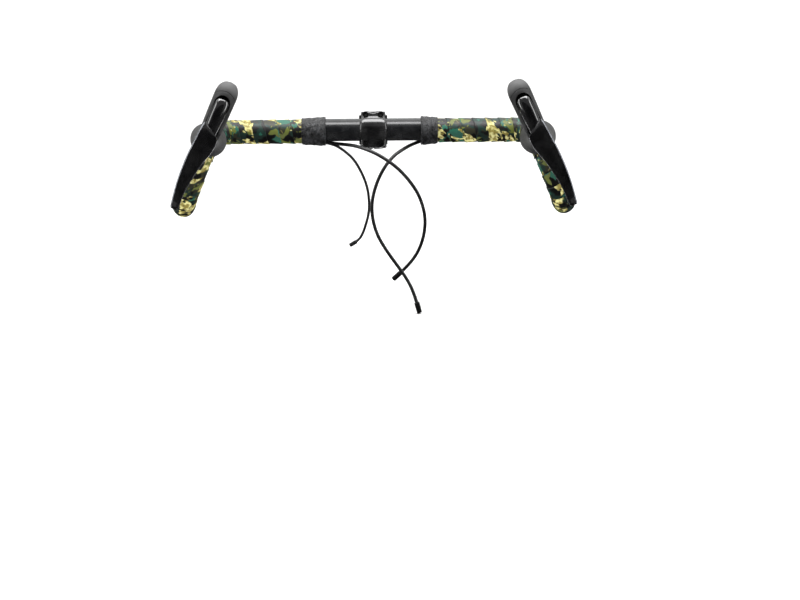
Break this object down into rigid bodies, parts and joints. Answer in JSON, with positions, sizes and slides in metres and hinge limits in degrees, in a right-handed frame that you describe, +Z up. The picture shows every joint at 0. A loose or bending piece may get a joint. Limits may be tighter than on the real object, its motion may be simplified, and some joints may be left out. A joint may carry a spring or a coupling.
{
  "type": "drop handlebar",
  "caption": "Flared bicycle drop handlebar with stem, cushioned bar tape, finishing tape, hydraulic brake levers, a shift lever and short free hoses.",
  "frame": {"origin": "middle of the stem's steerer clamp, on the steerer axis", "axes": "+Z up, -Y the way the bicycle rides, +X the rider's left along the bar"},
  "size_m": [0.5778, 0.285, 0.3513],
  "materials": {
    "bar_black": "satin black anodised",
    "bar_tape": null,
    "bolt_black": "black oxide steel",
    "finishing_tape": "black wrinkled finishing tape",
    "fitting_black": "black",
    "hood_rubber": "matt dark grey",
    "hose_black": "satin black",
    "lever_gloss": "gloss black",
    "lever_resin": "satin black",
    "plug_black": "matt black",
    "resin_natural": "natural acetal",
    "seal_rubber": "matt",
    "steel_parts": "machined",
    "stem_black": "satin black"
  },
  "bodies": {
    "handlebar": {"bar_tape_left": "bar_tape", "bar_tape_right": "bar_tape", "bar_tube": "bar_black", "bleed_screw_left": "steel_parts", "bleed_screw_right": "steel_parts", "brake_hose_left": "hose_black", "brake_hose_right": "hose_black", "brake_pivot_pin_left": "steel_parts", "brake_pivot_pin_right": "steel_parts", "clamp_band_left": "steel_parts", "clamp_band_right": "steel_parts", "end_plug_left": "plug_black", "end_plug_right": "plug_black", "faceplate_bolts": "bolt_black", "finishing_tape_left": "finishing_tape", "finishing_tape_right": "finishing_tape", "hood_left": "hood_rubber", "hood_right": "hood_rubber", "hose_fitting_left": "steel_parts", "hose_fitting_right": "steel_parts", "hose_run_left": "hose_black", "hose_run_right": "hose_black", "hose_union_left": "fitting_black", "hose_union_right": "fitting_black", "housing_ferrule": "fitting_black", "lever_bracket_left": "lever_resin", "lever_bracket_right": "lever_resin", "piston_spring_left": "steel_parts", "piston_spring_right": "steel_parts", "reservoir_cap_left": "lever_resin", "reservoir_cap_right": "lever_resin", "reservoir_diaphragm_left": "seal_rubber", "reservoir_diaphragm_right": "seal_rubber", "shift_housing": "hose_black", "shift_housing_run": "hose_black", "steerer_clamp_bolts": "bolt_black", "stem_body": "stem_black", "stem_faceplate": "stem_black"},
    "left_piston": {"piston_left": "steel_parts", "piston_seals_left": "seal_rubber", "pushrod_left": "steel_parts"},
    "right_piston": {"piston_right": "steel_parts", "piston_seals_right": "seal_rubber", "pushrod_right": "steel_parts"},
    "left_lever": {"lever_base_left": "lever_resin", "lever_return_spring_left": "steel_parts", "reach_screw_left": "steel_parts", "lever_face_left": "lever_gloss", "lever_blade_left": "lever_gloss", "blade_bolt_left": "steel_parts"},
    "right_lever_base": {"lever_base_right": "lever_resin", "lever_return_spring_right": "steel_parts", "reach_screw_right": "steel_parts", "lever_face_right": "lever_gloss", "shift_axle_right": "steel_parts"},
    "right_blade": {"lever_blade_right": "lever_gloss"},
    "release": {"release_paddle": "lever_resin"},
    "spool": {"cable_spool": "resin_natural"}
  },
  "joints": [
    {"name": "left_brake", "type": "hinge", "parent": "handlebar", "child": "left_lever", "pos_m": [0.20578, -0.20981, 0.06928], "axis": [0.9098, 0.0175, 0.4146], "range_deg": [0, 24], "stiffness_Nm_per_rad": 0.8, "springref_deg": -20.05},
    {"name": "left_piston_slide", "type": "slide", "parent": "handlebar", "child": "left_piston", "axis": [0.113, 0.9509, -0.2881], "range_m": [0, 0.0104], "deforming": ["piston_spring_left"]},
    {"name": "right_brake", "type": "hinge", "parent": "handlebar", "child": "right_lever_base", "pos_m": [-0.20578, -0.20981, 0.06928], "axis": [0.9098, -0.0175, -0.4146], "range_deg": [0, 24], "stiffness_Nm_per_rad": 0.8, "springref_deg": -20.05},
    {"name": "right_piston_slide", "type": "slide", "parent": "handlebar", "child": "right_piston", "axis": [-0.113, 0.9509, -0.2881], "range_m": [0, 0.0104], "deforming": ["piston_spring_right"]},
    {"name": "right_shift", "type": "hinge", "parent": "right_lever_base", "child": "right_blade", "pos_m": [-0.22222, -0.23292, 0.03419], "axis": [0.113, -0.9509, 0.2881], "range_deg": [0, 20], "stiffness_Nm_per_rad": 0.5, "springref_deg": -17.19},
    {"name": "right_release", "type": "hinge", "parent": "right_blade", "child": "release", "pos_m": [-0.22222, -0.23292, 0.03419], "axis": [0.113, -0.9509, 0.2881], "range_deg": [0, 12], "stiffness_Nm_per_rad": 0.15, "springref_deg": -17.19},
    {"name": "spool_turn", "type": "hinge", "parent": "right_lever_base", "child": "spool", "pos_m": [-0.22222, -0.23292, 0.03419], "axis": [0.113, -0.9509, 0.2881], "range_deg": [0, 30]}
  ],
  "couplings": [
    {"joint": "left_piston_slide", "follows": "left_brake", "m_per_rad": 0.0246},
    {"joint": "right_piston_slide", "follows": "right_brake", "m_per_rad": 0.0246},
    {"joint": "spool_turn", "follows": "right_shift", "ratio": 1.5}
  ]
}
